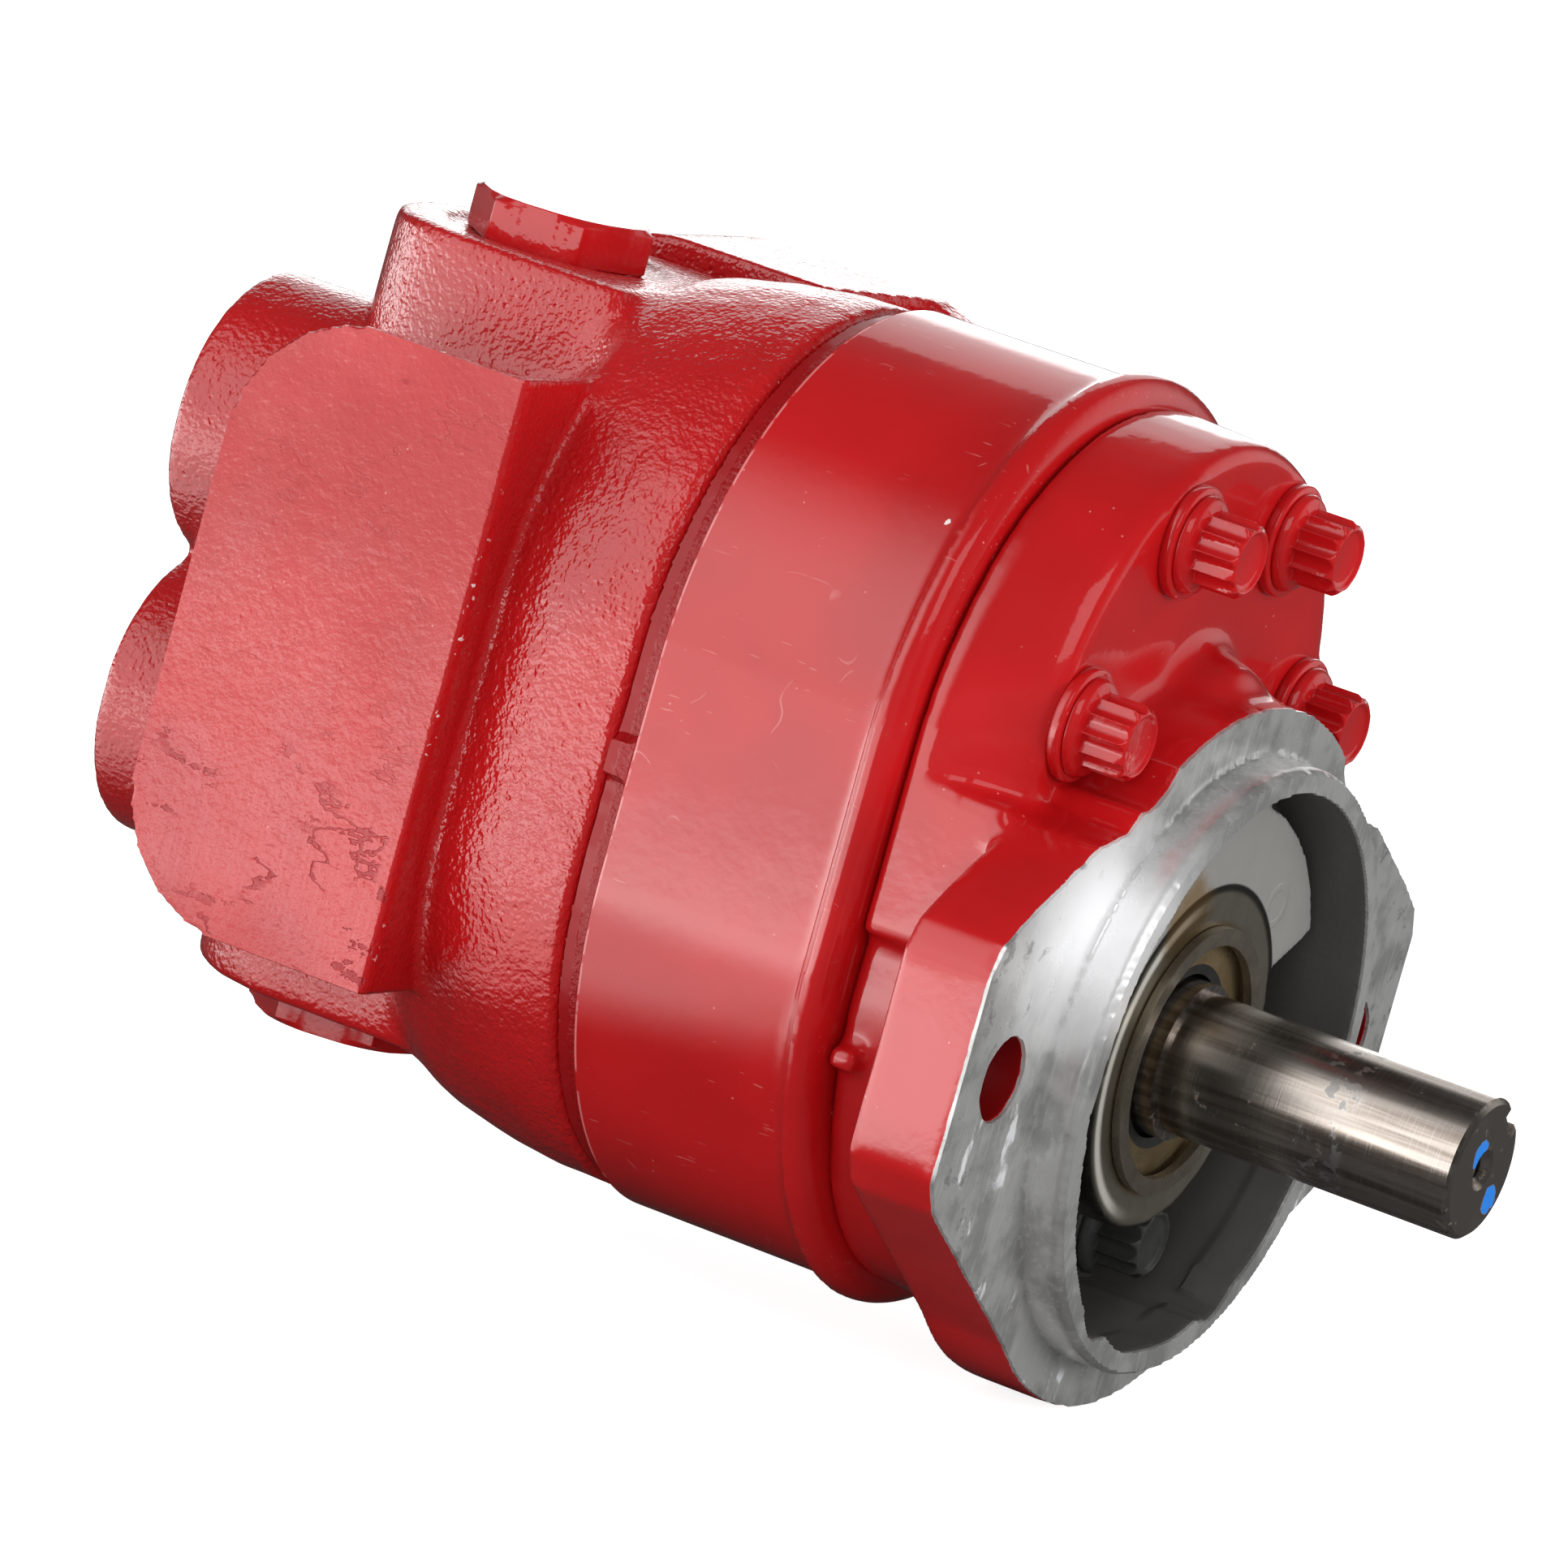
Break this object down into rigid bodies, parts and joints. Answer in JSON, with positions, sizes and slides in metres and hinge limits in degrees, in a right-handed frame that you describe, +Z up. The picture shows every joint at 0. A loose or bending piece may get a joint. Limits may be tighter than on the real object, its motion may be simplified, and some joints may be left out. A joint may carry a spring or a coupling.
{
  "type": "hydraulic gear motor",
  "caption": "Red external gear hydraulic motor with a two-bolt flange, keyed steel shaft, rear ports and hexagon valve plugs.",
  "frame": {"origin": "centre of the flange's mounting face, on the shaft axis, midway between the two mounting holes", "axes": "-Y out along the output shaft, +Y towards the rear ports, X along the line of the two mounting holes, +Z up towards the idler gear"},
  "size_m": [0.13, 0.2014, 0.1307],
  "materials": {
    "red_paint_on_aluminium": "gloss red paint over die-cast aluminium, bare on the mounting face",
    "red_paint": "gloss red paint",
    "red_cast_paint": "gloss red paint over rough cast iron",
    "black_screw_steel": "black oxide",
    "shaft_steel": "ground steel, slightly stained",
    "gear_steel": "ground steel",
    "bronze": "bearing bronze",
    "black_rubber": "matt",
    "seal_steel": "pressed steel with an oil film",
    "spring_steel": "phosphated spring steel"
  },
  "bodies": {
    "housing": {"front_housing": "red_paint_on_aluminium", "gear_housing": "red_paint", "rear_casting": "red_cast_paint", "lobe_screws": "red_paint", "cavity_screws": "black_screw_steel", "lobe_washers": "red_paint", "cavity_washers": "black_screw_steel", "drive_front_bush": "bronze", "drive_rear_bush": "bronze", "idler_front_bush": "bronze", "idler_rear_bush": "bronze", "front_wear_plate": "bronze", "rear_wear_plate": "bronze", "front_plate_seal": "black_rubber", "rear_plate_seal": "black_rubber", "front_body_seal": "black_rubber", "rear_body_seal": "black_rubber", "dowel_pins": "gear_steel", "shaft_seal_case": "seal_steel", "shaft_seal_lip": "black_rubber", "seal_snap_ring": "spring_steel", "top_valve_plug": "red_paint", "top_plug_seal": "black_rubber", "top_valve_spring": "spring_steel", "top_valve_seat": "gear_steel", "bottom_valve_plug": "red_paint", "bottom_plug_seal": "black_rubber", "bottom_valve_spring": "spring_steel", "bottom_valve_seat": "gear_steel"},
    "drive": {"drive_shaft": "shaft_steel", "drive_gear": "gear_steel"},
    "idler": {"idler_shaft": "shaft_steel", "idler_gear": "gear_steel"},
    "top_poppet": {"top_valve_poppet": "gear_steel"},
    "bottom_poppet": {"bottom_valve_poppet": "gear_steel"}
  },
  "joints": [
    {"name": "drive_spin", "type": "hinge", "parent": "housing", "child": "drive", "pos_m": [0, 0, 0], "axis": [0, 1, 0], "continuous": true},
    {"name": "idler_spin", "type": "hinge", "parent": "housing", "child": "idler", "pos_m": [0, 0, 0.039], "axis": [0, 1, 0], "continuous": true},
    {"name": "top_valve_lift", "type": "slide", "parent": "housing", "child": "top_poppet", "axis": [0, 0, 1], "range_m": [0, 0.003], "stiffness_N_per_m": 4000, "springref_m": -0.002, "deforming": ["top_valve_spring"]},
    {"name": "bottom_valve_lift", "type": "slide", "parent": "housing", "child": "bottom_poppet", "axis": [0, 0, -1], "range_m": [0, 0.003], "stiffness_N_per_m": 4000, "springref_m": -0.002, "deforming": ["bottom_valve_spring"]}
  ],
  "couplings": [
    {"joint": "idler_spin", "follows": "drive_spin", "ratio": -1}
  ]
}
